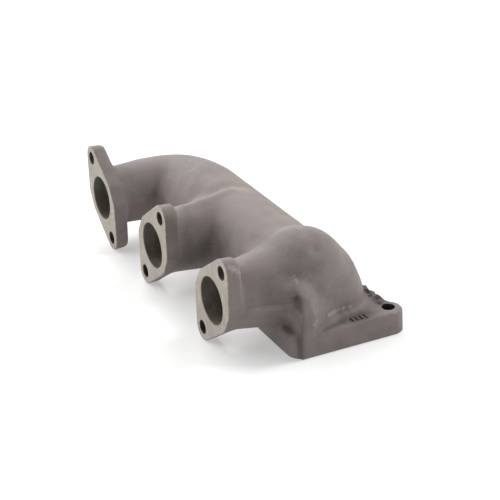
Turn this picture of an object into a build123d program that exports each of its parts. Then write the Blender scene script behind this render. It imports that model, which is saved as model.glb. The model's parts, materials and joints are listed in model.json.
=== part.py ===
from build123d import *
import os

# Exhaust manifold for three in-line ports, one grey-iron casting, in millimetres.
# The origin is the centre of the middle port on the gasket face. +X runs along the
# ports to the outlet end, +Y leaves the cylinder head and +Z is up.

# Cylinder head side
port_pitch = 95.0
port_bore = 32.0
port_plate = 10.5           # flange thickness
stud_across = 15.6          # stud place from the bore centre, along X
stud_up = 26.2              # and along Z
stud_hole = 9.0
stud_lobe = 9.6             # flange radius round a stud
port_waist = (25.2, -1.0)   # half width of the flange beside the bore, and where along Z
port_shoulder = (15.5, 13.5)  # corner of the flange where the slant side starts
corner_round = 2.5
back_round = 2.0            # cast round along the back edge of the flange

# Walls and tubes, by outside radius
wall = 5.5
runner_root = 21.3          # at the back of the port flange
runner_1_end = 22.8
runner_2_end = 26.4
runner_3_end = 29.5
bend_middle = 23.8
collector_outer = 28.0
dome_outer = 30.5
elbow_outer = 28.3
ball_over = 0.4             # a joining ball is this much larger than its bars
neck_outer = 28.3

# Places
bend_start_y = 31.0         # runner 1 is straight up to here
bend_end_x = -49.0
bend_pull = 29.3            # handle length of the bend's curve
bend_shares = (0, 0.25, 0.5, 0.75, 1)  # where the bend's circles stand
collector_y, collector_z = 64.5, 1.5
dome_at = (95.0, 64.5, 5.0)
elbow_at = (93.5, 75.0, -4.5)
neck_at = (92.0, 81.0, -16.0)

# Outlet flange, face down
outlet_bore = 45.0
outlet_plate = 16.0
outlet_face_z = -36.0
outlet_half = 42.5          # from the bore centre to a straight side
outlet_waist = 33.5         # same, on the side away from the head
outlet_corner = 9.8
outlet_bolt = 32.5          # bolt place from the bore centre, along X and Y
bolt_hole = 9.0
blind_depth = 20.0          # the two holes on the head side are blind
inner_boss_top = -9.0
outer_boss_top = 8.0
outer_boss_side_y = 44.0
outer_boss_taper = 1.0      # radius lost up to the top
outer_boss_setback = 0.6    # of the block behind the flange's end

# Cuts between the named regions of the casting
cut_runner_2_y = 36.0
cut_branch_x = 30.0
cut_entry_y = 58.0
cut_neck_z = -6.0

# Foundry marks on top of the outlet flange
mark_size = (5.0, 1.4, 0.8)
mark_step = 3.4
mark_at = (128.6, 84.0)
mark_count = 4

overcut = 1.0               # a drill starts and ends this far outside its plate
same_radius = 0.01          # a cone flatter than this is a cylinder
far = 400.0                 # outside everything

outlet_top_z = outlet_face_z + outlet_plate
outlet_side_y = neck_at[1] - outlet_half
cut_elbow_x = neck_at[0] - outlet_half
forward = (0, 1, 0)


def cone(start, end, start_radius, end_radius):
    """Round bar from start to end whose radius changes evenly."""
    axis = Vector(*end) - Vector(*start)
    plane = Plane(origin=start, z_dir=axis.normalized())
    low = (Align.CENTER, Align.CENTER, Align.MIN)
    if abs(start_radius - end_radius) < same_radius:
        return plane * Cylinder(start_radius, axis.length, align=low)
    return plane * Cone(start_radius, end_radius, axis.length, align=low)


def bend(inset):
    """Quarter turn that takes runner 1 into the collector."""
    start = Vector(-port_pitch, bend_start_y, 0)
    end = Vector(bend_end_x, collector_y, collector_z)
    pull_in = start + Vector(0, bend_pull, 0)
    pull_out = end - Vector(bend_pull, 0, 0)
    curve = Bezier(start, pull_in, pull_out, end)
    rings = []
    for share in bend_shares:
        ease = 2 * (1 - share) * share * bend_middle
        radius = runner_1_end * (1 - share) ** 2 + ease + collector_outer * share ** 2
        plane = Plane(origin=curve @ share, z_dir=curve % share)
        rings.append(plane * Circle(radius - inset))
    return loft(rings)


def ball(centre, radius):
    return Pos(*centre) * Sphere(radius)


def tubes(inset):
    """Everything that carries gas, as solid bars. An inset of one wall gives the passages."""
    root = port_bore / 2 if inset else runner_root
    neck = outlet_bore / 2 if inset else neck_outer
    collector = collector_outer - inset
    foot = (neck_at[0], neck_at[1], outlet_face_z)
    bars = [
        cone((-port_pitch, port_plate, 0), (-port_pitch, bend_start_y, 0), root, runner_1_end - inset),
        bend(inset),
        cone((bend_end_x, collector_y, collector_z), (dome_at[0], collector_y, collector_z),
             collector, collector),
        cone((0, port_plate, 0), (0, collector_y, 0), root, runner_2_end - inset),
        cone((port_pitch, port_plate, 0), (port_pitch, collector_y, 0), root, runner_3_end - inset),
        ball(dome_at, dome_outer - inset),
        cone(dome_at, elbow_at, elbow_outer - inset, elbow_outer - inset),
        ball(elbow_at, elbow_outer + ball_over - inset),
        cone(elbow_at, neck_at, elbow_outer - inset, neck - ball_over),
        ball(neck_at, neck) + cone(neck_at, foot, neck, neck),
    ]
    body = bars[0]
    for bar in bars[1:]:
        body += bar
    return body


def port_flange(centre, side):
    """Two-stud plate round one port. Side -1 leans the stud line the other way."""
    rounds = []
    for turn in (-1, 1):
        stud = Location((turn * side * stud_across, turn * stud_up))
        rounds += (stud * Circle(stud_lobe)).edges()
        waist = (port_waist[0] - corner_round, port_waist[1])
        shoulder = (-port_shoulder[0], port_shoulder[1])
        for across, up in (waist, shoulder):
            corner = Location((turn * side * across, turn * up))
            rounds += (corner * Circle(corner_round)).edges()
    outline = make_hull(rounds)
    plate = extrude(Plane((centre, 0, 0), x_dir=(1, 0, 0), z_dir=(0, -1, 0)) * outline, port_plate,
                    dir=forward)
    plate = fillet(plate.faces().sort_by(Axis.Y)[-1].edges(), back_round)
    for turn in (-1, 1):
        plate -= drill_through(centre + turn * side * stud_across, turn * stud_up, stud_hole)
    return plate - drill_through(centre, 0, port_bore)


def drill_through(x, z, width):
    """Round hole through a port flange."""
    return cone((x, -overcut, z), (x, port_plate + overcut, z), width / 2, width / 2)


def bolt_place(side_x, side_y):
    return neck_at[0] + side_x * outlet_bolt, neck_at[1] + side_y * outlet_bolt


def outlet_outline():
    """Straight on the head side, waisted between two lobes on the far side."""
    centre = Location((neck_at[0], neck_at[1]))
    width = 2 * outlet_half
    depth = outlet_half + outlet_waist
    middle = Location((0, (outlet_waist - outlet_half) / 2))
    shape = centre * (middle * RectangleRounded(width, depth, outlet_corner))
    for side in (-1, 1):
        place = bolt_place(side, 1)
        shape += Location((place[0], place[1])) * Circle(outlet_half - outlet_bolt)
        edge_x = neck_at[0] + side * (outlet_half - outlet_corner / 2)
        shape += Location((edge_x, place[1] - outlet_corner)) * Rectangle(outlet_corner, 2 * outlet_corner)
    return shape


def outlet_flange(plate, hollow):
    foot = (neck_at[0], neck_at[1], outlet_face_z - overcut)
    return plate - bolt_holes() - hollow - cone(foot, neck_at, outlet_bore / 2, outlet_bore / 2)


def bolt_holes():
    """Two blind holes on the head side and two through holes on the far side."""
    holes = Part()
    for side_x in (-1, 1):
        for side_y, depth in ((-1, blind_depth), (1, outlet_plate + overcut)):
            place = bolt_place(side_x, side_y)
            foot = (place[0], place[1], outlet_face_z - overcut)
            top = (place[0], place[1], outlet_face_z + depth)
            holes += cone(foot, top, bolt_hole / 2, bolt_hole / 2)
    return holes


def inner_boss(gas_tubes):
    """Round boss over the blind hole under the collector."""
    place = bolt_place(-1, -1)
    bar = cone((place[0], place[1], outlet_top_z), (place[0], place[1], inner_boss_top),
               outlet_corner, outlet_corner)
    return bar - gas_tubes - bolt_holes()


def outer_boss(gas_tubes):
    """Corner column over the other blind hole, flush with the end of the outlet flange."""
    place = bolt_place(1, -1)
    side_x = neck_at[0] + outlet_half
    column = cone((place[0], place[1], outlet_top_z), (place[0], place[1], outer_boss_top),
                  outlet_corner, outlet_corner - outer_boss_taper)
    flat_from = (place[0] - outlet_corner, outer_boss_side_y, outlet_top_z)
    flat_to = (side_x - outer_boss_setback, place[1] + outlet_corner, outer_boss_top)
    column += block(flat_from, flat_to)
    column &= block((0, outer_boss_side_y, outlet_top_z), (side_x, far, outer_boss_top))
    return column - gas_tubes - bolt_holes()


def block(low, high):
    size = [b - a for a, b in zip(low, high)]
    corner = (Align.MIN, Align.MIN, Align.MIN)
    return Pos(*low) * Box(*size, align=corner)


def cast_marks():
    """Plain raised bars on top of the outlet flange."""
    bars = []
    lift = (Align.CENTER, Align.CENTER, Align.MIN)
    for number in range(mark_count):
        place = Pos(mark_at[0], mark_at[1] + number * mark_step, outlet_top_z)
        bars.append(place * Box(*mark_size, align=lift))
    return Compound(children=bars)


def regions(casting):
    """Share the cored tube body out between its named regions, each cut flat."""
    low, high = -far, far
    cuts = [
        ("runner_1", (low, low, low), (bend_end_x, bend_start_y, high)),
        ("runner_1_bend", (low, low, low), (bend_end_x, high, high)),
        ("collector_head", (low, low, low), (-cut_branch_x, high, high)),
        ("runner_2", (low, low, low), (cut_branch_x, cut_runner_2_y, high)),
        ("collector_branch", (low, low, low), (cut_branch_x, high, high)),
        ("collector_run", (low, low, low), (cut_elbow_x, high, high)),
        ("runner_3", (low, low, low), (high, outlet_side_y, high)),
        ("elbow_entry", (low, low, low), (high, cut_entry_y, high)),
        ("outlet_neck", (low, low, low), (high, high, cut_neck_z)),
        ("outlet_elbow", (low, low, low), (high, high, high)),
    ]
    parts = {}
    for name, corner, opposite in cuts:
        space = block(corner, opposite)
        parts[name] = casting & space
        casting = casting - space
    return parts


def nodes():
    """Every named region of the manifold, each a solid of its own."""
    gas_tubes = tubes(0)
    hollow = tubes(wall)
    plate = extrude(Location((0, 0, outlet_face_z)) * outlet_outline(), outlet_plate)
    cored = gas_tubes - hollow - plate - block((-far, -far, -far), (far, far, outlet_face_z))
    parts = regions(cored)
    for number, side in ((1, -1), (2, 1), (3, 1)):
        parts[f"port_flange_{number}"] = port_flange((number - 2) * port_pitch, side)
    parts["outlet_flange"] = outlet_flange(plate, hollow)
    parts["stud_boss_inner"] = inner_boss(gas_tubes)
    parts["stud_boss_outer"] = outer_boss(gas_tubes)
    parts["cast_marks"] = cast_marks()
    return parts


os.makedirs("parts", exist_ok=True)
for name, shape in nodes().items():
    print(name, len(shape.solids()), round(shape.volume))
    export_step(shape, f"parts/{name}.step")
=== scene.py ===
import json
import math
import bmesh
import bpy
import numpy as np
from mathutils import Matrix, Vector, noise


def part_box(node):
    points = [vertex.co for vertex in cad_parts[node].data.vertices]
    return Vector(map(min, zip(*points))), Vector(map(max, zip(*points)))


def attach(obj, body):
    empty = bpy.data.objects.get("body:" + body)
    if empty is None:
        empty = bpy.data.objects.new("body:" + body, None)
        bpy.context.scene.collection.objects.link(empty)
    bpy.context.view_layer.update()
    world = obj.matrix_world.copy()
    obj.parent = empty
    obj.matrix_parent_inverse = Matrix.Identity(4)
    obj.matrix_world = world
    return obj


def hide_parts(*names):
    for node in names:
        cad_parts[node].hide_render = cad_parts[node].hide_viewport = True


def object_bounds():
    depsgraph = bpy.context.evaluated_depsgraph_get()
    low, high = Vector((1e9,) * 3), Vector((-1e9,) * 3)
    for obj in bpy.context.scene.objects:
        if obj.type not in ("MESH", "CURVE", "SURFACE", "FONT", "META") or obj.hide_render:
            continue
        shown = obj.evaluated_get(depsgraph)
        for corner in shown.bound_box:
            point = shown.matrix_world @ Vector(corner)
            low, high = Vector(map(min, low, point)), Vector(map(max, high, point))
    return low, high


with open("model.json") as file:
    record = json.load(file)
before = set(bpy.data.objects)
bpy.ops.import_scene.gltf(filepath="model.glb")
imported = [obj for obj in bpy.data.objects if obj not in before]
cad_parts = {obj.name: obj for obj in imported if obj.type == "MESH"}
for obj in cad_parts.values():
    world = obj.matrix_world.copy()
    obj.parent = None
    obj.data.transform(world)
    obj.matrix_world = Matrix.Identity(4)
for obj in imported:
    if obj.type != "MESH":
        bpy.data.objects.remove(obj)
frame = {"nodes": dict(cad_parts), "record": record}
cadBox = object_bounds()
print("stage: frame loaded")

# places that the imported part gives
mm = 0.001
mounts = {mount["name"]: mount for mount in frame["record"]["mounts"]}
portPlaces = [Vector(mounts[f"port_bore_{number}"]["pos_m"]) for number in (1, 2, 3)]
portBore = mounts["port_bore_1"]["dims"]["r_mm"] * mm
outletPlace = Vector(mounts["outlet_bolts"]["pos_m"])
outletBore = mounts["outlet_bore"]["dims"]["r_mm"] * mm
boltSpan = mounts["outlet_bolts"]["dims"]["spacing_x_mm"] * mm / 2
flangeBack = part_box("port_flange_2")[1][1]
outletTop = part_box("outlet_flange")[1][2]
alongY = Vector((0, 1, 0))
alongX = Vector((1, 0, 0))
upZ = Vector((0, 0, 1))
hair = 1e-6  # metres; closer than this counts as touching
sharpAngle = math.radians(38)  # shading breaks at edges sharper than this


class Wire:
    # one socket of a material; sums on wires add Math nodes
    def __init__(self, tree, socket=None):
        self.tree = tree
        self.socket = socket

    def add(self, kind, settings=None, inputs=None, output=0):
        made = self.tree.nodes.new(kind)
        for name, value in (settings or {}).items():
            if name == "stops":
                self.setStops(made.color_ramp, value)
            else:
                setattr(made, name, value)
        for name, value in (inputs or {}).items():
            if isinstance(value, Wire):
                self.tree.links.new(value.socket, made.inputs[name])
            else:
                made.inputs[name].default_value = value
        return Wire(self.tree, made.outputs[output] if made.outputs else None)

    def setStops(self, ramp, stops):
        while len(ramp.elements) < len(stops):
            ramp.elements.new(0.5)
        for element, (place, value) in zip(ramp.elements, stops):
            element.position = place
            element.color = (value, value, value, 1)

    def maths(self, operation, first, second):
        return self.add("ShaderNodeMath", {"operation": operation}, {0: first, 1: second})

    def __add__(self, other):
        return self.maths("ADD", self, other)

    def __radd__(self, other):
        return self.maths("ADD", other, self)

    def __sub__(self, other):
        return self.maths("SUBTRACT", self, other)

    def __rsub__(self, other):
        return self.maths("SUBTRACT", other, self)

    def __mul__(self, other):
        return self.maths("MULTIPLY", self, other)

    def mix(self, first, second):  # this wire is the share of the second colour
        settings = {"data_type": "RGBA"}
        return self.add("ShaderNodeMix", settings, {0: self, 6: first, 7: second}, 2)

    def ramp(self, *stops):
        return self.add("ShaderNodeValToRGB", {"stops": stops}, {"Fac": self})


def newMaterial(name):
    material = bpy.data.materials.new(name)
    material.use_nodes = True
    tree = material.node_tree
    tree.nodes.clear()
    return material, Wire(tree)


def objectPlace(start):
    return start.add("ShaderNodeTexCoord", output=3)


def noiseOn(start, place, scale, detail=3.0, roughness=0.55):
    inputs = {"Vector": place, "Scale": scale, "Detail": detail, "Roughness": roughness}
    return start.add("ShaderNodeTexNoise", {}, inputs)


def colour(red, green, blue):
    return (red, green, blue, 1)


def finishMaterial(start, colourWire, roughWire, heightWire, depth, metallic=0.0):
    normal = start.add("ShaderNodeBump", {}, {"Strength": 1.0, "Distance": depth, "Height": heightWire})
    inputs = {"Base Color": colourWire, "Roughness": roughWire, "Normal": normal, "Metallic": metallic}
    shader = start.add("ShaderNodeBsdfPrincipled", {}, inputs)
    start.add("ShaderNodeOutputMaterial", {}, {"Surface": shader})


castSkinLook = {
    "dark": colour(0.118, 0.096, 0.091),
    "light": colour(0.207, 0.178, 0.163),
    "mauve": colour(0.172, 0.139, 0.136),
    "stain": colour(0.270, 0.205, 0.160),
    # pale colour for scuffs, also used as painted highlight
    "scuffAndHighlight": colour(0.300, 0.270, 0.248),
    # dark colour: painted shade in hollows, pockets and beside edges, and the dark broken gate edge
    "darkAndPaintedShade": colour(0.052, 0.043, 0.041),
    "broadScale": 16.0,
    "blotchScale": 75.0,
    "grainScale": 1100.0,
    "pitScale": 420.0,
    "rimWidth": 0.8,  # mm of skin beside a machined face
    "wearAndPaintedLightShare": 0.33,
    "rimShare": 0.22,
    "footShare": 0.15,
    "depth": 0.00028,
}


def makeCastSkin():
    look = castSkinLook
    material, start = newMaterial("castSkin")
    place = objectPlace(start)
    broad = noiseOn(start, place, look["broadScale"], 2.0)
    blotch = noiseOn(start, place, look["blotchScale"], 4.0)
    grain = noiseOn(start, place, look["grainScale"], 4.0, 0.7)
    pits = noiseOn(start, place, look["pitScale"], 3.0, 0.6)
    wear = start.add("ShaderNodeAttribute", {"attribute_name": "wear"}, {}, 2)
    stain = start.add("ShaderNodeAttribute", {"attribute_name": "stain"}, {}, 2)
    tone = (broad * 0.35 + blotch * 0.35 + grain * 0.35).ramp((0.40, 0.0), (0.66, 1.0))
    base = tone.mix(look["dark"], look["light"])
    base = broad.ramp((0.48, 0.0), (0.62, 0.6)).mix(base, look["mauve"])
    base = (stain * blotch * 1.3).ramp((0.15, 0.0), (0.75, 0.8)).mix(base, look["stain"])
    # negative values of the stroke attribute paint the dark colour: painted shade in hollows, pockets and
    # beside edges, and the dark broken gate edge
    base = (wear * -1.0).ramp((0.05, 0.0), (0.9, 0.8)).mix(base, look["darkAndPaintedShade"])
    y = start.add("ShaderNodeSeparateXYZ", {}, {"Vector": place}, 1)
    z = start.add("ShaderNodeSeparateXYZ", {}, {"Vector": place}, 2)
    rim = (look["rimWidth"] - y * 1000).ramp((0.0, 0.0), (0.6, 1.0))
    foot = (z * -1000 + (outletPlace.z * 1000 + look["rimWidth"])).ramp((0.0, 0.0), (0.6, 1.0))
    # positive values of the stroke attribute add the pale colour: worn places, and painted highlights
    # along the feet of the neck and web
    rubbedAndHighlit = wear * look["wearAndPaintedLightShare"] + rim * look["rimShare"] + foot * look["footShare"]
    scuffsAndHighlights = (pits * 0.5 + grain * 0.5 + rubbedAndHighlit).ramp((0.66, 0.0), (0.78, 0.85))
    base = scuffsAndHighlights.mix(base, look["scuffAndHighlight"])
    rough = grain * 0.18 + 0.60 - scuffsAndHighlights * 0.12
    height = grain * 0.55 + pits * 0.45
    finishMaterial(start, base, rough, height, look["depth"], 0.0)
    return material


milledLook = {
    "dark": colour(0.172, 0.148, 0.125),
    "light": colour(0.325, 0.292, 0.252),
    "streakScale": 1400.0,
    "streakStretch": (1.0, 1.0, 0.045),
    "mottleScale": 420.0,
    "broadScale": 40.0,
    "depth": 0.00006,
}


def makeMilled():  # flat gasket faces with fine upright tool marks
    look = milledLook
    material, start = newMaterial("milledFace")
    place = objectPlace(start)
    stretched = start.add("ShaderNodeMapping", {}, {"Vector": place, "Scale": look["streakStretch"]})
    streaks = noiseOn(start, stretched, look["streakScale"], 3.0, 0.6)
    mottle = noiseOn(start, place, look["mottleScale"], 4.0, 0.65)
    broad = noiseOn(start, place, look["broadScale"], 2.0)
    tone = (streaks * 0.4 + mottle * 0.45 + broad * 0.3).ramp((0.42, 0.0), (0.70, 1.0))
    base = tone.mix(look["dark"], look["light"])
    finishMaterial(start, base, 0.42 + mottle * 0.2, streaks * 0.6 + mottle * 0.4, look["depth"], 0.15)
    return material


passageLook = {
    "dark": colour(0.072, 0.062, 0.053),
    "light": colour(0.165, 0.145, 0.120),
    "blotchScale": 90.0,
    "grainScale": 900.0,
    "depth": 0.0004,
}


def makePassageSkin():
    look = passageLook
    material, start = newMaterial("passageSkin")
    place = objectPlace(start)
    blotch = noiseOn(start, place, look["blotchScale"], 4.0)
    grain = noiseOn(start, place, look["grainScale"], 4.0, 0.7)
    base = (blotch * 0.6 + grain * 0.4).ramp((0.38, 0.0), (0.65, 1.0)).mix(look["dark"], look["light"])
    finishMaterial(start, base, grain * 0.2 + 0.6, grain, look["depth"])
    return material


# far darker than drilled metal: painted shade inside the holes
drilledShadedLook = {
    "dark": colour(0.020, 0.016, 0.014),
    "light": colour(0.070, 0.056, 0.048),
    "ringScale": 1500.0,
    "blotchScale": 300.0,
    "depth": 0.0001,
}


def makeDrilled():  # rings left by the drill, across the hole
    look = drilledShadedLook
    material, start = newMaterial("drilledHole")
    place = objectPlace(start)
    rings = noiseOn(start, place, look["ringScale"], 2.0)
    blotch = noiseOn(start, place, look["blotchScale"], 3.0)
    base = (rings * 0.5 + blotch * 0.5).ramp((0.4, 0.0), (0.65, 1.0)).mix(look["dark"], look["light"])
    finishMaterial(start, base, 0.5 + blotch * 0.2, rings, look["depth"], 0.2)
    return material


materials = [makeCastSkin(), makeMilled(), makePassageSkin(), makeDrilled()]
skinIndex, milledIndex, passageIndex, drilledIndex = range(4)
print("stage: materials made")


def ringMatrix(place, direction, radius):
    turn = Vector(direction).to_track_quat("Z", "Y").to_matrix().to_4x4()
    return Matrix.Translation(place) @ turn @ Matrix.Scale(radius, 4)


def addTube(bm, stations, segments=72):  # each station is (place, direction, radius)
    before = ringMatrix(*stations[0])
    ring = bmesh.ops.create_circle(bm, cap_ends=True, segments=segments, radius=1, matrix=before)
    disc = ring["verts"][0].link_faces[0]
    passed = []
    for station in stations[1:]:
        after = ringMatrix(*station)
        grown = bmesh.ops.extrude_face_region(bm, geom=[disc])["geom"]
        passed.append(disc)
        verts = [item for item in grown if isinstance(item, bmesh.types.BMVert)]
        disc = next(item for item in grown if isinstance(item, bmesh.types.BMFace))
        bmesh.ops.transform(bm, matrix=after @ before.inverted(), verts=verts)
        before = after
    inside = [face for face in passed[1:] if face.is_valid]
    bmesh.ops.delete(bm, geom=inside, context="FACES_ONLY")


def addBall(bm, place, radius):
    bmesh.ops.create_icosphere(bm, subdivisions=4, radius=radius, matrix=Matrix.Translation(place))


def addHull(bm, makeParts):  # the tight skin round everything that makeParts adds
    lump = bmesh.new()
    makeParts(lump)
    wrapped = bmesh.ops.convex_hull(lump, input=lump.verts[:])
    inside = [item for item in wrapped["geom_interior"] + wrapped["geom_unused"]
              if isinstance(item, bmesh.types.BMVert) and item.is_valid]
    bmesh.ops.delete(lump, geom=list(dict.fromkeys(inside)), context="VERTS")
    merge(bm, lump)


def merge(bm, other):
    carrier = bpy.data.meshes.new("carrier")
    other.to_mesh(carrier)
    other.free()
    bm.from_mesh(carrier)
    bpy.data.meshes.remove(carrier)


def addDiscStack(bm, discs, levels, direction):  # discs (place, radius) repeated at levels (height, inset)
    for height, inset in levels:
        for place, radius in discs:
            matrix = ringMatrix(Vector(place) + direction * height, direction, radius - inset)
            bmesh.ops.create_circle(bm, cap_ends=False, segments=40, radius=1, matrix=matrix)


def roundedLevels(start, end, draft, edge, steps=4):  # a drafted side that ends in a rounded edge
    levels = [(start, 0.0), (end - edge, draft)]
    for step in range(1, steps + 1):
        angle = step / steps * math.pi / 2
        levels.append((end - edge + edge * math.sin(angle), draft + edge * (1 - math.cos(angle))))
    return levels


def voxelSkin(bm, voxel):  # one closed skin over all the overlapping shapes
    bmesh.ops.recalc_face_normals(bm, faces=bm.faces[:])
    mesh = bpy.data.meshes.new("rough")
    bm.to_mesh(mesh)
    bm.free()
    rough = bpy.data.objects.new("rough", mesh)
    bpy.context.scene.collection.objects.link(rough)
    remesh = rough.modifiers.new("skin", "REMESH")
    remesh.mode = "VOXEL"
    remesh.voxel_size = voxel
    graph = bpy.context.evaluated_depsgraph_get()
    skin = bpy.data.meshes.new_from_object(rough.evaluated_get(graph))
    bpy.data.objects.remove(rough)
    bpy.data.meshes.remove(mesh)
    return skin


def orderedMesh(name, bm):  # operators can leave faces in any order, so they are written in a fixed one
    bm.verts.index_update()
    faces = []
    for face in bm.faces:
        corners = [vert.index for vert in face.verts]
        first = corners.index(min(corners))
        faces.append(corners[first:] + corners[:first])
    mesh = bpy.data.meshes.new(name)
    mesh.from_pydata([vert.co for vert in bm.verts], [], sorted(faces))
    bm.free()
    return mesh


def readVectors(items, name):
    values = np.empty(len(items) * 3)
    items.foreach_get(name, values)
    return values.reshape(-1, 3)


def readPoints(mesh):
    return readVectors(mesh.vertices, "co")


def readNormals(mesh):
    return readVectors(mesh.vertex_normals, "vector")


def writePoints(mesh, points):
    mesh.vertices.foreach_set("co", points.ravel())
    mesh.update()


def clamp(value, low=0):
    return min(max(value, low), 1)


relaxRate = {
    "across": 0.9,
    "along": 0.5,
}


def relax(mesh, passes, fillOnly, share=1.0):  # fillOnly fills inside corners and leaves outside ones
    pairs = np.empty(len(mesh.edges) * 2, dtype=np.int32)
    mesh.edges.foreach_get("vertices", pairs)
    pairs = pairs.reshape(-1, 2)
    count = len(mesh.vertices)
    degree = np.bincount(pairs.ravel(), minlength=count)
    points = readPoints(mesh)
    for turn in range(passes):
        facing = readNormals(mesh)
        pull = np.empty_like(points)
        for axis in range(3):
            total = np.bincount(pairs[:, 0], points[pairs[:, 1], axis], count)
            total += np.bincount(pairs[:, 1], points[pairs[:, 0], axis], count)
            pull[:, axis] = total / degree - points[:, axis]
        lift = (pull * facing).sum(1)
        along = pull - facing * lift[:, None]
        if fillOnly:
            lift = np.maximum(lift, 0)
        points += (facing * lift[:, None] * relaxRate["across"] + along * relaxRate["along"]) * share
        writePoints(mesh, points)


tubeShape = {
    "wall": 0.0055,
    "rootRadius": 0.0213,
    "bendStartY": 0.031,
    "bendEndX": -0.049,
    "bendPull": 0.0293,
    "bendSteps": 20,
    "bendRadii": (0.0228, 0.0238, 0.0280),
    "collectorPlace": (0.0645, 0.0015),
    "runnerTwo": ((0.0330, 0.0004, 0.0237), (0.0450, 0.0012, 0.0249),
                  (0.0565, 0.0015, 0.0256), (0.0645, 0.0015, 0.0262)),
    "runnerThree": ((0.0645, 0.0000, 0.0295),),
    "dome": ((0.095, 0.0645, 0.005), 0.0305),
    "elbow": ((0.0935, 0.075, -0.0045), 0.0287),
    "neck": ((0.092, 0.081, -0.016), 0.0283),
    "overrun": 0.006,
}


def bendStations(inset):
    shape = tubeShape
    collectorY, collectorZ = shape["collectorPlace"]
    start = Vector((portPlaces[0].x, shape["bendStartY"], 0))
    end = Vector((shape["bendEndX"], collectorY, collectorZ))
    pullIn = start + alongY * shape["bendPull"]
    pullOut = end - alongX * shape["bendPull"]
    first, middle, last = shape["bendRadii"]
    stations = []
    for step in range(shape["bendSteps"] + 1):
        share = step / shape["bendSteps"]
        rest = 1 - share
        place = start * rest ** 3 + pullIn * 3 * rest ** 2 * share
        place += pullOut * 3 * rest * share ** 2 + end * share ** 3
        direction = (pullIn - start) * rest ** 2 + (pullOut - pullIn) * 2 * rest * share
        direction += (end - pullOut) * share ** 2
        radius = first * rest ** 2 + middle * 2 * rest * share + last * share ** 2
        stations.append((place, direction, radius - inset))
    return stations


def gasTubes(inset):  # no inset for the outside, and one wall of inset for the passages
    shape = tubeShape
    bm = bmesh.new()
    hollow = inset > 0
    root = portBore if hollow else shape["rootRadius"]
    neckRadius = outletBore if hollow else shape["neck"][1]
    mouthY = -shape["overrun"] if hollow else flangeBack / 4
    collectorY, collectorZ = shape["collectorPlace"]
    bend = bendStations(inset)
    collectorEnd = Vector((portPlaces[2].x, collectorY, collectorZ))
    start = portPlaces[0]
    addTube(bm, [(start + alongY * mouthY, alongY, root), (start + alongY * flangeBack, alongY, root)]
            + bend + [(collectorEnd, alongX, bend[-1][2])])
    for place, along in ((portPlaces[1], shape["runnerTwo"]), (portPlaces[2], shape["runnerThree"])):
        addTube(bm, [(place + alongY * mouthY, alongY, root), (place + alongY * flangeBack, alongY, root)]
                + [(place + alongY * y + upZ * z, alongY, radius - inset) for y, z, radius in along])
    balls = [(Vector(shape[name][0]), shape[name][1] - inset) for name in ("dome", "elbow", "neck")]
    balls[2] = (balls[2][0], neckRadius)
    for first, second in zip(balls, balls[1:]):
        addHull(bm, lambda lump: [addBall(lump, *first), addBall(lump, *second)])
    neck = balls[2][0]
    foot = Vector((neck.x, neck.y, outletPlace.z - (shape["overrun"] if hollow else 0)))
    addTube(bm, [(neck, -upZ, neckRadius), (foot, -upZ, neckRadius)])
    return bm


portFlangeShape = {
    "lobe": 0.0096,
    "studAcross": 0.0156,
    "studUp": 0.0262,
    "waist": (0.0227, -0.0010),
    "shoulder": (-0.0155, 0.0135),
    "corner": 0.0025,
    "draft": 0.0008,
    "backEdge": 0.0026,
    "overrun": 0.005,
}


def addPortFlange(bm, place, side):  # side -1 leans the stud line the other way
    shape = portFlangeShape
    discs = []
    for turn in (-1, 1):
        for across, up, radius in ((shape["studAcross"], shape["studUp"], shape["lobe"]),
                                   (*shape["waist"], shape["corner"]),
                                   (*shape["shoulder"], shape["corner"])):
            discs.append((place + Vector((turn * side * across, 0, turn * up)), radius))
    levels = roundedLevels(-shape["overrun"], flangeBack, shape["draft"], shape["backEdge"])
    addHull(bm, lambda lump: addDiscStack(lump, discs, levels, alongY))


outletFlangeShape = {
    "half": 0.0425,
    "waist": 0.0335,
    "corner": 0.0098,
    "draft": 0.0004,
    "topEdge": 0.0012,
    "overrun": 0.005,
    "bossTop": -0.009,
}


def addOutletFlange(bm):
    shape = outletFlangeShape
    corner = shape["half"] - shape["corner"]
    thick = outletTop - outletPlace.z
    levels = roundedLevels(-shape["overrun"], thick, shape["draft"], shape["topEdge"])
    far = shape["waist"] - shape["corner"]
    plate = [(outletPlace + Vector((sideX * corner, y, 0)), shape["corner"])
             for sideX in (-1, 1) for y in (-corner, far)]
    addHull(bm, lambda lump: addDiscStack(lump, plate, levels, upZ))
    for sideX in (-1, 1):
        lobe = [(outletPlace + Vector((sideX * boltSpan, y, 0)), shape["half"] - boltSpan)
                for y in (0, boltSpan)]
        addHull(bm, lambda lump: addDiscStack(lump, lobe, levels, upZ))
    under = outletPlace + Vector((-boltSpan, -boltSpan, 0))
    top = Vector((under.x, under.y, shape["bossTop"]))
    addTube(bm, [(under, upZ, shape["corner"]), (top, upZ, shape["corner"])])


columnShape = {
    "edge": 0.0006,
    "heel": ((0.1346, 0.0440), (0.1342, 0.0500), (0.1285, 0.0585), (0.1050, 0.0600), (0.1050, 0.0440)),
    "web": ((0.1288, 0.0575), (0.1245, 0.0660), (0.1212, 0.0760), (0.1040, 0.0780), (0.1040, 0.0580)),
    "lean": ((-0.0100, 0.0), (-0.0013, 0.0010), (0.0039, 0.0033),  # height, distance moved in
             (0.0077, 0.0060), (0.0120, 0.0105), (0.0160, 0.0165)),
    "rootX": 0.1060,
    "flareStartY": 0.0200,
    "flareStartX": 0.1175,
    "flareInset": 0.0006,
    "flareLow": -0.0010,
    "flareLean": 0.4,
    "flareDrop": 0.0018,
}


def leanIn(x, inward):  # how far a corner has moved in at one height
    return max(x - inward, columnShape["rootX"]) if x > columnShape["rootX"] else x


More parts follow.
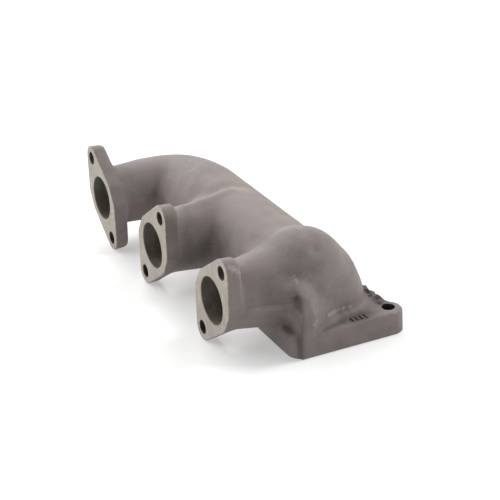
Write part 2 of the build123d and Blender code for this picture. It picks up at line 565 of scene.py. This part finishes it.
def addColumn(bm):  # corner column over the blind hole, with a sharp upright edge and a web to the neck
    shape = columnShape
    edge = shape["edge"]
    footZ = outletPlace.z - outletFlangeShape["overrun"]
    levels = [(footZ, 0.0)] + list(shape["lean"])
    for outline in (shape["heel"], shape["web"]):

        def stack(lump):
            for z, inward in levels:
                discs = [(Vector((leanIn(x, inward) - edge, y + edge, z)), edge) for x, y in outline]
                addDiscStack(lump, discs, [(0, 0)], upZ)

        addHull(bm, stack)

    def flare(lump):  # runner 3 widens out to meet the edge
        cornerX, cornerY = shape["heel"][0]
        for z, inward in shape["lean"][1:]:
            low = max(z, shape["flareLow"])
            near = Vector((leanIn(cornerX, inward) - shape["flareInset"] - edge, cornerY + edge, low))
            farX = shape["flareStartX"] - inward * shape["flareLean"] - edge
            far = Vector((farX, shape["flareStartY"], low - shape["flareDrop"]))
            back = Vector((shape["rootX"], cornerY + edge, low))
            addDiscStack(lump, [(near, edge), (far, edge), (back, edge)], [(0, 0)], upZ)

    addHull(bm, flare)


gateShape = {
    "start": (0.0840, 0.1122, -0.0202),
    "end": (0.1150, 0.1128, -0.0202),
    "radius": 0.0026,
}


def addGateStub(bm):  # what is left of the gate, broken off along the back of the flange
    shape = gateShape
    start = Vector(shape["start"])
    end = Vector(shape["end"])
    addTube(bm, [(start, end - start, shape["radius"]), (end, end - start, shape["radius"])], 24)


castingShape = {
    "voxel": 0.00125,
    "tubeBlend": 13,
    "elbowBlend": 45,
    "elbowBlendX": (0.040, 0.056),
    "elbowBlendLow": 0.002,
    "flangeBlend": 9,
    "coreBlend": 24,
    "smoothing": 2,
    "waveHeight": 0.00010,
    "waveScale": 95.0,
    "rippleShare": 0.5,
    "rippleScale": 2.7,
    "seamHeight": 0.00022,
    "seamStart": 0.0135,
    "seamRise": 0.13,
    "seamBendY": 0.058,
    "seamSide": 0.6,  # skin that faces further up or down than this carries no seam
    "edgeChamfer": 0.0004,
}


def addWaves(mesh):  # slow unevenness of a sand mould
    shape = castingShape
    points = readPoints(mesh)
    swell = []
    for point in points:
        place = Vector(point) * shape["waveScale"]
        swell.append(noise.noise(place) + shape["rippleShare"] * noise.noise(place * shape["rippleScale"]))
    points += readNormals(mesh) * np.array(swell)[:, None] * shape["waveHeight"]
    writePoints(mesh, points)


def addPartingSeam(mesh):  # the low ridge where the two halves of the mould met
    shape = castingShape
    rise = shape["seamRise"]
    bendY = shape["seamBendY"]
    bm = bmesh.new()
    bm.from_mesh(mesh)
    planes = (((0, shape["seamStart"], 0), (0, -rise, 1), shape["seamStart"], bendY),
              ((0, bendY, rise * (bendY - shape["seamStart"])), (0, 0, 1), bendY, 1.0))
    for place, normal, nearY, farY in planes:
        everything = bm.verts[:] + bm.edges[:] + bm.faces[:]
        cut = bmesh.ops.bisect_plane(bm, geom=everything, dist=hair, plane_co=place, plane_no=normal)
        bm.normal_update()
        for vert in [item for item in cut["geom_cut"] if isinstance(item, bmesh.types.BMVert)]:
            if nearY < vert.co.y < farY and abs(vert.normal.z) < shape["seamSide"]:
                vert.co += vert.normal * shape["seamHeight"]
    bm.to_mesh(mesh)
    bm.free()


strokes = [
    # painted shade in the set-back beside the corner's upright edge, and in the hollow beside runner 2
    {"line": ((0.1285, 0.0430, 0.0077), (0.1310, 0.0430, 0.0039), (0.1332, 0.0430, -0.0020),
              (0.1340, 0.0430, -0.0360)), "width": 0.0024, "wear": -0.9},
    {"line": ((0.0240, 0.0220, -0.0050), (0.0280, 0.0300, -0.0020)), "width": 0.0120, "wear": -0.65},
    # the crest of runner 2 stands out as far as the collector's top
    {"line": ((0.0000, 0.0260, 0.0225), (0.0000, 0.0380, 0.0248), (0.0000, 0.0500, 0.0268),
              (0.0005, 0.0605, 0.0272)), "width": 0.0050, "height": 0.0012},
    {"line": ((-0.0090, 0.0340, 0.0215), (-0.0085, 0.0460, 0.0245), (-0.0075, 0.0580, 0.0275),
              (-0.0020, 0.0665, 0.0290)), "width": 0.0055, "height": -0.0013},
    # the shallow valley between the end of the collector and the elbow
    {"line": ((0.0874, 0.0680, 0.0343), (0.1001, 0.0660, 0.0350), (0.1075, 0.0655, 0.0325),
              (0.1135, 0.0645, 0.0285)), "width": 0.0044, "height": -0.0010},
    # pocket at the foot of the web, dented and darkened with painted shade
    {"line": ((0.1320, 0.0555, -0.0200), (0.1285, 0.0655, -0.0200), (0.1265, 0.0760, -0.0200)),
     "width": 0.0030, "height": -0.0009, "wear": -0.6},
    # broken edge where the gate was
    {"line": ((0.0840, 0.1125, -0.0190), (0.1160, 0.1130, -0.0190)),
     "width": 0.0050, "height": 0.0003, "crumble": 0.0022, "wear": -1.0},
    # rough patch beside the foundry marks, darkened with painted shade, and a wider band of painted shade
    # across the flange top
    {"line": ((0.1245, 0.0830, -0.0200), (0.1255, 0.0960, -0.0200)),
     "width": 0.0050, "crumble": 0.0004, "wear": -0.5},
    {"line": ((0.1290, 0.0900, -0.0200), (0.1240, 0.1060, -0.0200)), "width": 0.0080, "wear": -0.5},
    # scuffs, and painted highlights along the foot of the neck and of the web
    {"line": ((0.1174, 0.0028, 0.0322), (0.1184, 0.0061, 0.0304), (0.1183, 0.0094, 0.0279)),
     "width": 0.0030, "crumble": 0.0003, "wear": 0.8},
    {"line": ((0.1186, 0.0098, 0.0270), (0.1178, 0.0101, 0.0083), (0.1165, 0.0104, -0.0120)),
     "width": 0.0012, "crumble": 0.0002, "wear": 0.6},
    # pale rough wear along the foot of the neck, partly a painted highlight
    {"line": ((0.1240, 0.0700, -0.0142), (0.1210, 0.0791, -0.0151), (0.1191, 0.0892, -0.0156)),
     "width": 0.0024, "crumble": 0.0005, "wear": 0.85},
    # painted highlight on the rounded lip at the foot of the web
    {"line": ((0.1332, 0.0520, -0.0120), (0.1290, 0.0610, -0.0135), (0.1262, 0.0690, -0.0150)),
     "width": 0.0020, "crumble": 0.0004, "wear": 0.6},
    {"line": ((0.1317, 0.1090, -0.0201), (0.1325, 0.1138, -0.0202), (0.1316, 0.1198, -0.0229)),
     "width": 0.0025, "wear": 0.5},
    {"line": ((0.1202, 0.0555, 0.0192), (0.1230, 0.0561, 0.0132), (0.1249, 0.0579, 0.0079)),
     "width": 0.0050, "wear": 0.36},
    {"line": ((0.1188, 0.0469, 0.0158), (0.1212, 0.0470, 0.0139)), "width": 0.0020, "wear": 0.7},
    {"line": ((-0.0682, 0.0553, 0.0260), (-0.0681, 0.0609, 0.0273)), "width": 0.0022, "wear": 0.6},
    # stains
    {"line": ((-0.0023, 0.0671, 0.0293), (0.0095, 0.0705, 0.0288)), "width": 0.0060, "stain": 0.8},
    {"line": ((0.0421, 0.0700, 0.0289), (0.0611, 0.0714, 0.0286)), "width": 0.0050, "stain": 0.5},
    {"line": ((0.1100, 0.0200, -0.0150), (0.1080, 0.0300, -0.0160)), "width": 0.0040, "stain": 0.5},
]


crumbShape = {
    "fineScale": 420,
    "broadScale": 170,
    "broadShare": 0.5,
    "faintest": 0.02,  # share of a stroke below which nothing crumbles
}


def addStrokes(mesh):  # dents, ridges and worn places along lines on the skin
    shape = crumbShape
    points = readPoints(mesh)
    normals = readNormals(mesh)
    painted = {"wear": np.zeros(len(points)), "stain": np.zeros(len(points))}
    for stroke in strokes:
        nearest = np.full(len(points), 1.0)
        for start, end in zip(stroke["line"], stroke["line"][1:]):
            start = np.array(start)
            span = np.array(end) - start
            share = np.clip((points - start) @ span / (span @ span), 0, 1)
            nearest = np.minimum(nearest, np.linalg.norm(points - start - share[:, None] * span, axis=1))
        weight = np.exp(-(nearest / stroke["width"]) ** 2)
        lift = stroke.get("height", 0.0) * weight
        for index in np.nonzero(weight > shape["faintest"])[0] if stroke.get("crumble") else ():
            place = Vector(points[index])
            crumbs = noise.noise(place * shape["fineScale"])
            crumbs += shape["broadShare"] * noise.noise(place * shape["broadScale"])
            lift[index] += crumbs * stroke["crumble"] * weight[index]
        points += normals * lift[:, None]
        for name, amount in painted.items():
            amount += weight * stroke.get(name, 0.0)
    writePoints(mesh, points)
    for name, amount in painted.items():
        mesh.attributes.new(name, "FLOAT", "POINT").data.foreach_set("value", amount)


stepShape = {
    "edgeY": 0.0440,
    "edge": ((-0.0360, 0.1344), (0.0030, 0.1344), (0.0065, 0.1338), (0.0095, 0.1322)),  # z, x
    "lip": 0.0004,
    "depth": 0.0028,
    "reach": 0.0060,
    "frontReach": 0.0130,
    "backReach": 0.0090,
    "pullShare": 0.6,  # share of the pull that the set-back takes away again
    "fromX": 0.1190,
    "fullX": 0.1290,
    "topZ": 0.0170,
    "fadeZ": 0.0080,
    "stepTop": 0.0100,
    "stepFade": 0.0030,
    "footFade": 0.0140,
    "footShare": 0.3,
}


def addCornerStep(mesh):  # the corner's upright edge, with the mould set back on the head side of it
    shape = stepShape
    bm = bmesh.new()
    bm.from_mesh(mesh)
    for y in (shape["edgeY"], shape["edgeY"] - shape["lip"]):
        nearby = [vert for vert in bm.verts if vert.co.x > shape["fromX"] and vert.co.z < shape["topZ"]]
        faces = dict.fromkeys(face for vert in nearby for face in vert.link_faces)  # in mesh order
        edges = dict.fromkeys(edge for face in faces for edge in face.edges)
        verts = dict.fromkeys(vert for face in faces for vert in face.verts)
        bmesh.ops.bisect_plane(bm, geom=list(verts) + list(edges) + list(faces), dist=hair,
                               plane_co=(0, y, 0), plane_no=alongY)
    found = sorted((vert.co.z, vert.co.x) for vert in bm.verts
                   if abs(vert.co.y - shape["edgeY"]) < hair and vert.co.x > shape["fromX"])
    foundZ, foundX = zip(*found)
    edgeZ, edgeX = zip(*shape["edge"])
    for vert in bm.verts:
        x, y, z = vert.co
        if x < shape["fromX"] or z > shape["topZ"]:
            continue
        across = clamp((x - shape["fromX"]) / (shape["fullX"] - shape["fromX"]))
        down = clamp((shape["topZ"] - z) / shape["fadeZ"])
        foot = clamp((z - outletPlace.z) / shape["footFade"], shape["footShare"])
        limit = np.interp(z, edgeZ, edgeX)
        pulled = max(limit - np.interp(z, foundZ, foundX), 0) * down * across
        front = y - shape["edgeY"]
        behind = -front - shape["lip"]
        reach = shape["frontReach"] if front > -hair else shape["backReach"]
        x = max(x, min(x + pulled * math.exp(-(front / reach) ** 2), limit))
        if behind > -hair:
            step = clamp((shape["stepTop"] - z) / shape["stepFade"])
            setBack = (shape["depth"] * foot + shape["pullShare"] * pulled) * across * step
            x -= setBack * math.exp(-(behind / shape["reach"]) ** 2)
        vert.co.x = x
    bm.to_mesh(mesh)
    bm.free()


def makeOutside():
    shape = castingShape
    tubes = voxelSkin(gasTubes(0), shape["voxel"])
    relax(tubes, shape["tubeBlend"], True)
    x, y, z = readPoints(tubes).T
    near, full = shape["elbowBlendX"]
    share = np.clip((x - near) / (full - near), 0, 1) * (z > shape["elbowBlendLow"])
    relax(tubes, shape["elbowBlend"], True, share[:, None])
    print("stage: tubes blended,", len(tubes.vertices), "points")
    bm = bmesh.new()
    bm.from_mesh(tubes)
    for place, side in zip(portPlaces, (-1, 1, 1)):
        addPortFlange(bm, place, side)
    addOutletFlange(bm)
    addColumn(bm)
    addGateStub(bm)
    outside = voxelSkin(bm, shape["voxel"])
    relax(outside, shape["flangeBlend"], True)
    relax(outside, shape["smoothing"], False)
    addWaves(outside)
    addStrokes(outside)
    addCornerStep(outside)
    addPartingSeam(outside)
    print("stage: flanges blended,", len(outside.vertices), "points")
    return outside


def makePassages():
    shape = castingShape
    passages = voxelSkin(gasTubes(tubeShape["wall"]), shape["voxel"])
    relax(passages, shape["coreBlend"], True)
    relax(passages, shape["smoothing"], False)
    print("stage: passages,", len(passages.vertices), "points")
    return passages


def slicePlane(bm, axis, level, sign, clear):
    normal = Vector((0, 0, 0))
    normal[axis] = sign
    point = Vector((0, 0, 0))
    point[axis] = level
    everything = bm.verts[:] + bm.edges[:] + bm.faces[:]
    cut = bmesh.ops.bisect_plane(bm, geom=everything, dist=1e-7, plane_co=point, plane_no=normal,
                                 clear_outer=clear)
    return cut["geom_cut"], normal


def cutAway(bm, axis, level, keepLow, chamfer=0.0):  # cuts straight across and closes the cut
    sign = 1 if keepLow else -1
    if chamfer:
        slicePlane(bm, axis, level - sign * chamfer, sign, False)
    rim, normal = slicePlane(bm, axis, level, sign, True)
    if chamfer:
        bm.normal_update()
        for vert in [item for item in rim if isinstance(item, bmesh.types.BMVert)]:
            inward = -vert.normal
            inward[axis] = 0
            vert.co += inward.normalized() * chamfer
    edges = [item for item in rim if isinstance(item, bmesh.types.BMEdge)]
    filled = bmesh.ops.triangle_fill(bm, use_beauty=True, edges=edges, normal=normal)["geom"]
    return [item for item in filled if isinstance(item, bmesh.types.BMFace)]


drillShape = {
    "radius": 0.0045,
    "mouth": 0.002,
    "pastFlange": 0.003,
    "blindTop": -0.016,
    "countersink": 0.0004,
    "segments": 48,
}


def drillPlaces():  # (start, end) of every drilled hole
    shape = drillShape
    holes = []
    for place, side in zip(portPlaces, (-1, 1, 1)):
        for turn in (-1, 1):
            across = turn * side * portFlangeShape["studAcross"]
            centre = place + Vector((across, 0, turn * portFlangeShape["studUp"]))
            end = centre + alongY * (flangeBack + shape["pastFlange"])
            holes.append((centre - alongY * shape["mouth"], end))
    for sideX in (-1, 1):
        for sideY in (-1, 1):
            centre = outletPlace + Vector((sideX * boltSpan, sideY * boltSpan, 0))
            top = shape["blindTop"] if sideY < 0 else outletTop + shape["pastFlange"]
            holes.append((centre - upZ * shape["mouth"], Vector((centre.x, centre.y, top))))
    return holes


def drill(mesh):
    shape = drillShape
    radius = shape["radius"]
    sink = shape["countersink"]
    bits = bmesh.new()
    for start, end in drillPlaces():
        direction = (end - start).normalized()
        face = start + direction * shape["mouth"]
        addTube(bits, [(start, direction, radius + sink + shape["mouth"]),
                       (face + direction * sink, direction, radius),
                       (end, direction, radius)], shape["segments"])
    bmesh.ops.recalc_face_normals(bits, faces=bits.faces[:])
    bitMesh = orderedMesh("bits", bits)
    bitMesh.polygons.foreach_set("material_index", [drilledIndex] * len(bitMesh.polygons))
    for finish in materials:
        bitMesh.materials.append(finish)
        mesh.materials.append(finish)
    bitObject = bpy.data.objects.new("bits", bitMesh)
    body = bpy.data.objects.new("body", mesh)
    for item in (bitObject, body):
        bpy.context.scene.collection.objects.link(item)
    cut = body.modifiers.new("holes", "BOOLEAN")
    cut.operation = "DIFFERENCE"
    cut.solver = "EXACT"
    cut.object = bitObject
    cut.material_mode = "INDEX"
    graph = bpy.context.evaluated_depsgraph_get()
    drilled = bpy.data.meshes.new_from_object(body.evaluated_get(graph))
    bpy.data.objects.remove(body)
    bpy.data.objects.remove(bitObject)
    return drilled


def makeCasting():
    bm = bmesh.new()
    bm.from_mesh(makePassages())
    bmesh.ops.reverse_faces(bm, faces=bm.faces[:])
    for face in bm.faces:
        face.material_index = passageIndex
    bm.from_mesh(makeOutside())
    for axis, level in ((1, 0.0), (2, outletPlace.z)):
        for face in cutAway(bm, axis, level, False, castingShape["edgeChamfer"]):
            face.material_index = milledIndex
    mesh = bpy.data.meshes.new("casting")
    bm.to_mesh(mesh)
    bm.free()
    print("stage: faces milled")
    mesh = drill(mesh)
    mesh.set_sharp_from_angle(angle=sharpAngle)
    shading = readVectors(mesh.corner_normals, "vector")
    kept = mesh.attributes.new("skinNormal", "FLOAT_VECTOR", "CORNER")
    kept.data.foreach_set("vector", shading.ravel())
    mesh.attributes.new("cap", "INT", "FACE")
    print("stage: holes drilled,", len(mesh.polygons), "faces")
    return mesh


cutShape = {
    "flangeFillet": 0.005,
    "outletFillet": 0.006,
    "columnX": 0.1215,
}


def halves(body, axis, level):
    other = body.copy()
    result = []
    for part, keepLow in ((body, True), (other, False)):
        mark = part.faces.layers.int["cap"]
        for face in cutAway(part, axis, level, keepLow):
            face[mark] = 1
        result.append(part)
    return result


def divide(mesh):  # into the named regions, at flat cuts
    shape = cutShape
    first, middle, last = [place.x for place in portPlaces]
    whole = bmesh.new()
    whole.from_mesh(mesh)
    regions = {}
    fronts, rest = halves(whole, 1, flangeBack + shape["flangeFillet"])
    regions["port_flange_1"], fronts = halves(fronts, 0, (first + middle) / 2)
    regions["port_flange_2"], regions["port_flange_3"] = halves(fronts, 0, (middle + last) / 2)
    ends, rest = halves(rest, 0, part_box("runner_1_bend")[1][0])
    regions["runner_1"], regions["runner_1_bend"] = halves(ends, 1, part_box("runner_1")[1][1])
    regions["collector_head"], rest = halves(rest, 0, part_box("collector_head")[1][0])
    branch, rest = halves(rest, 0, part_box("collector_branch")[1][0])
    regions["runner_2"], regions["collector_branch"] = halves(branch, 1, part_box("runner_2")[1][1])
    regions["collector_run"], rest = halves(rest, 0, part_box("collector_run")[1][0])
    regions["runner_3"], rest = halves(rest, 1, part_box("runner_3")[1][1])
    regions["outlet_flange"], rest = halves(rest, 2, outletTop + shape["outletFillet"])
    entry, rest = halves(rest, 1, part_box("elbow_entry")[1][1])
    regions["elbow_entry"], regions["stud_boss_outer"] = halves(entry, 0, shape["columnX"])
    regions["outlet_neck"], regions["outlet_elbow"] = halves(rest, 2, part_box("outlet_elbow")[0][2])
    return regions


def addPiece(name, mesh, stands):
    piece = bpy.data.objects.new(name, mesh)
    bpy.context.scene.collection.objects.link(piece)
    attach(piece, "root")
    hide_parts(*stands)


def finishRegion(name, bm):
    mesh = bpy.data.meshes.new(name)
    bm.to_mesh(mesh)
    bm.free()
    for finish in materials:
        mesh.materials.append(finish)
    caps = np.empty(len(mesh.polygons), dtype=np.int32)
    mesh.attributes["cap"].data.foreach_get("value", caps)
    shading = readVectors(mesh.attributes["skinNormal"].data, "vector")
    sizes = np.empty(len(mesh.polygons), dtype=np.int32)
    mesh.polygons.foreach_get("loop_total", sizes)
    flats = np.repeat(readVectors(mesh.polygons, "normal"), sizes, axis=0)
    onCap = np.repeat(caps > 0, sizes)
    plain = onCap | (np.linalg.norm(shading, axis=1) < 0.5)  # a corner with no stored normal is flat too
    shading[plain] = flats[plain]
    shading /= np.linalg.norm(shading, axis=1)[:, None]
    mesh.attributes.remove(mesh.attributes["skinNormal"])
    mesh.attributes.remove(mesh.attributes["cap"])
    mesh.shade_smooth()
    mesh.normals_split_custom_set(shading.tolist())
    return mesh


standsFor = {"outlet_flange": ("outlet_flange", "stud_boss_inner")}
pieceNames = {
    "port_flange_1": "portFlange1",
    "port_flange_2": "portFlange2",
    "port_flange_3": "portFlange3",
    "runner_1": "runner1",
    "runner_1_bend": "runner1Bend",
    "collector_head": "collectorHead",
    "runner_2": "runner2",
    "collector_branch": "collectorBranch",
    "collector_run": "collectorRun",
    "runner_3": "runner3",
    "elbow_entry": "elbowEntry",
    "outlet_elbow": "outletElbow",
    "outlet_neck": "outletNeck",
    "outlet_flange": "outletFlange",
    "stud_boss_outer": "studBossOuter",
}

for node, bm in divide(makeCasting()).items():
    mesh = finishRegion(pieceNames[node], bm)
    addPiece(pieceNames[node], mesh, standsFor.get(node, (node,)))
    print("stage:", pieceNames[node], len(mesh.polygons), "faces")


markShape = {
    "round": 0.0003,
    "steps": 3,
    "weld": 1e-5,
    "flatAngle": 0.01,
    # darkens the whole of the marks with painted shade
    "darkAndPaintedShade": -0.8,
}


def makeCastMarks():  # the foundry marks keep their solids' places, with softened corners
    shape = markShape
    bm = bmesh.new()
    bm.from_mesh(frame["nodes"]["cast_marks"].data)
    bmesh.ops.remove_doubles(bm, verts=bm.verts[:], dist=shape["weld"])
    bmesh.ops.dissolve_limit(bm, angle_limit=shape["flatAngle"], verts=bm.verts[:], edges=bm.edges[:])
    bmesh.ops.bevel(bm, geom=bm.edges[:], offset=shape["round"], offset_type="OFFSET",
                    segments=shape["steps"], profile=0.5, affect="EDGES", material=-1)
    mesh = bpy.data.meshes.new("castMarks")
    bm.to_mesh(mesh)
    bm.free()
    mesh.materials.append(materials[skinIndex])
    # painted shade: the marks are darkened all over
    wear = mesh.attributes.new("wear", "FLOAT", "POINT")
    wear.data.foreach_set("value", [shape["darkAndPaintedShade"]] * len(mesh.vertices))
    mesh.shade_smooth()
    mesh.set_sharp_from_angle(angle=sharpAngle)
    addPiece("castMarks", mesh, ("cast_marks",))


makeCastMarks()
print("stage: pieces made")


studio = {
    "floorSize": 14.0,
    "floorGap": 0.0002,
    "floorColour": colour(0.62, 0.62, 0.615),
    "floorRough": 0.9,
    "baseGlow": 0.02,
    "floorGlow": 0.34,
    "cameraPlace": (0.84516, -0.33948, 0.42617),
    "cameraTurn": (64.575, 1.37, 63.24),
    "lens": 104.9,
    "sensor": 36.0,
    "aim": (0.03, 0.05, 0.0),
    "lampDistance": 1.3,
    "lamps": {  # direction round the object, height in degrees, size, power
        "leftLamp": (170, 40, 0.40, 6.0),
        "frontLeftLamp": (-120, 22, 0.40, 3.2),
        "rightLamp": (78, 45, 0.50, 11.0),
        "frontLamp": (-30, 10, 0.40, 1.3),
    },
    "glow": {  # wide soft walls of light: direction, strength
        "leftWall": ((-0.94, -0.34, 0.30), 1.55),
        "frontLeftWall": ((-0.43, -0.90, 0.10), 1.50),
        "rightWall": ((0.43, 0.90, 0.10), 1.15),
        "backWall": ((-0.90, 0.43, 0.10), 0.95),
    },
}


def makeFloor():
    bm = bmesh.new()
    level = Matrix.Translation((0, 0, cadBox[0].z - studio["floorGap"]))
    bmesh.ops.create_grid(bm, x_segments=1, y_segments=1, size=studio["floorSize"] / 2, matrix=level)
    mesh = bpy.data.meshes.new("studioFloor")
    bm.to_mesh(mesh)
    bm.free()
    material, start = newMaterial("studioFloor")
    inputs = {"Base Color": studio["floorColour"], "Roughness": studio["floorRough"],
              "Emission Color": colour(1, 1, 1), "Emission Strength": studio["floorGlow"]}
    shader = start.add("ShaderNodeBsdfPrincipled", {}, inputs)
    start.add("ShaderNodeOutputMaterial", {}, {"Surface": shader})
    mesh.materials.append(material)
    floor = bpy.data.objects.new("studioFloor", mesh)
    bpy.context.scene.collection.objects.link(floor)


def makeLamps():
    aim = Vector(studio["aim"])
    for name, (turn, height, size, power) in studio["lamps"].items():
        lamp = bpy.data.lights.new(name, "AREA")
        lamp.shape = "DISK"
        lamp.size = size
        lamp.energy = power
        holder = bpy.data.objects.new(name, lamp)
        toward = Vector((math.cos(math.radians(turn)), math.sin(math.radians(turn)), 0))
        toward = toward * math.cos(math.radians(height)) + upZ * math.sin(math.radians(height))
        holder.location = aim + toward * studio["lampDistance"]
        holder.rotation_euler = (-toward).to_track_quat("-Z", "Y").to_euler()
        bpy.context.scene.collection.objects.link(holder)


def makeWorld():
    world = bpy.data.worlds.new("studioLight")
    world.use_nodes = True
    world.node_tree.nodes.clear()
    start = Wire(world.node_tree)
    outward = start.add("ShaderNodeTexCoord")
    total = studio["baseGlow"]
    for direction, strength in studio["glow"].values():
        facing = start.add("ShaderNodeVectorMath", {"operation": "DOT_PRODUCT"},
                           {0: outward, 1: Vector(direction).normalized()}, 1)
        lit = facing.maths("MAXIMUM", facing, 0.0)
        total = lit * lit * strength + total
    background = start.add("ShaderNodeBackground", {}, {"Color": total, "Strength": 1.0})
    start.add("ShaderNodeOutputWorld", {}, {"Surface": background})
    bpy.context.scene.world = world


def makeCamera():
    lensData = bpy.data.cameras.new("camera")
    lensData.lens = studio["lens"]
    lensData.sensor_width = studio["sensor"]
    lensData.clip_start = 0.01
    camera = bpy.data.objects.new("camera", lensData)
    camera.location = studio["cameraPlace"]
    camera.rotation_euler = [math.radians(angle) for angle in studio["cameraTurn"]]
    bpy.context.scene.collection.objects.link(camera)
    bpy.context.scene.camera = camera


makeFloor()
makeLamps()
makeWorld()
makeCamera()
bpy.context.scene.view_settings.view_transform = "Standard"
print("stage: studio made")
